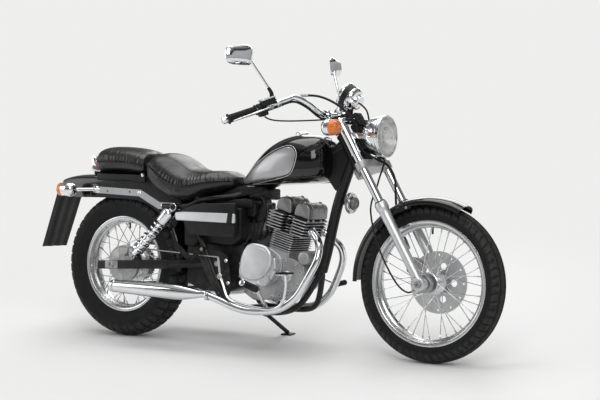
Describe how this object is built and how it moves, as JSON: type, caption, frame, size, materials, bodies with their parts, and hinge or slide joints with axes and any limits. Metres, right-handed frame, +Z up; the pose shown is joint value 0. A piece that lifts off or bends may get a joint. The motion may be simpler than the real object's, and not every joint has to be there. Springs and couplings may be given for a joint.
{
  "type": "cruiser motorcycle",
  "caption": "Small cruiser motorcycle with spoked wheels, an air-cooled twin engine and a stepped seat, parked on its side stand; its bars steer and its wheels turn.",
  "frame": {"origin": "on the ground under the middle of the whole machine's box", "axes": "+X towards the front wheel, +Y to the rider's left, +Z up; the machine leans 7 degrees to +Y on its side stand"},
  "size_m": [2.199, 0.8738, 1.2342],
  "materials": {
    "black_frame": "satin black paint",
    "black_plastic": "moulded black plastic",
    "black_rubber": "ribbed black rubber",
    "grey_alloy": "cast grey aluminium",
    "polished_alloy": "polished aluminium",
    "satin_alloy": "satin aluminium",
    "black_fins": "black paint with bare fin edges",
    "black_gloss": "deep gloss black paint",
    "chrome": "polished chrome",
    "black_vinyl": "black grained vinyl",
    "amber_red_lens": "amber and red lenses in chrome shells",
    "steel": "zinc-plated steel",
    "chain_steel": "oiled steel",
    "clear_lens": "clear fluted glass",
    "black_caliper": "dark cast metal",
    "tyre_rubber": "black tyre rubber",
    "disc_steel": "ground stainless steel"
  },
  "bodies": {
    "chassis": {"frame": "black_frame", "crankcase": "grey_alloy", "engine_covers": "polished_alloy", "cylinder_block": "black_fins", "cylinder_head": "black_fins", "intake": "black_plastic", "side_covers": "black_plastic", "fuel_tank": "black_gloss", "fuel_cap": "chrome", "rider_seat": "black_vinyl", "pillion_seat": "black_vinyl", "rear_fender": "black_gloss", "fender_struts": "chrome", "rear_lamps": "amber_red_lens", "plate_bracket": "black_plastic", "swingarm": "black_frame", "rear_axle": "steel", "shock_absorbers": "chrome", "brake_panel": "grey_alloy", "foot_pedals": "chrome", "drive_chain": "chain_steel", "exhausts": "chrome", "footpegs": "black_rubber", "horn": "steel"},
    "steering": {"fork_yokes": "grey_alloy", "fork_tubes": "chrome", "fork_sliders": "satin_alloy", "front_axle": "steel", "headlight_shell": "chrome", "headlight_lens": "clear_lens", "front_signals": "amber_red_lens", "speedometer": "chrome", "handlebar": "chrome", "grips": "black_rubber", "hand_controls": "black_plastic", "mirrors": "chrome", "front_fender": "black_gloss", "brake_caliper": "black_caliper", "front_cables": "black_plastic"},
    "front_wheel": {"front_tyre": "tyre_rubber", "front_spoked_rim": "chrome", "brake_disc": "disc_steel"},
    "rear_wheel": {"rear_tyre": "tyre_rubber", "rear_spoked_rim": "chrome"},
    "side_stand": {"side_stand": "black_frame"}
  },
  "joints": [
    {"name": "steering", "type": "hinge", "parent": "chassis", "child": "steering", "pos_m": [0.74491, -0.10696, 0.27076], "axis": [-0.5105, 0.1048, 0.8534], "range_deg": [-38, 38]},
    {"name": "front_wheel_spin", "type": "hinge", "parent": "steering", "child": "front_wheel", "pos_m": [0.7965, -0.10322, 0.30117], "axis": [0, 0.9925, -0.1219], "continuous": true},
    {"name": "rear_wheel_spin", "type": "hinge", "parent": "chassis", "child": "rear_wheel", "pos_m": [-0.6635, -0.10261, 0.30613], "axis": [0, 0.9925, -0.1219], "continuous": true},
    {"name": "side_stand_fold", "type": "hinge", "parent": "chassis", "child": "side_stand", "pos_m": [-0.0335, -0.0114, 0.11358], "axis": [0.0461, 0.671, 0.7401], "range_deg": [0, 90]}
  ]
}
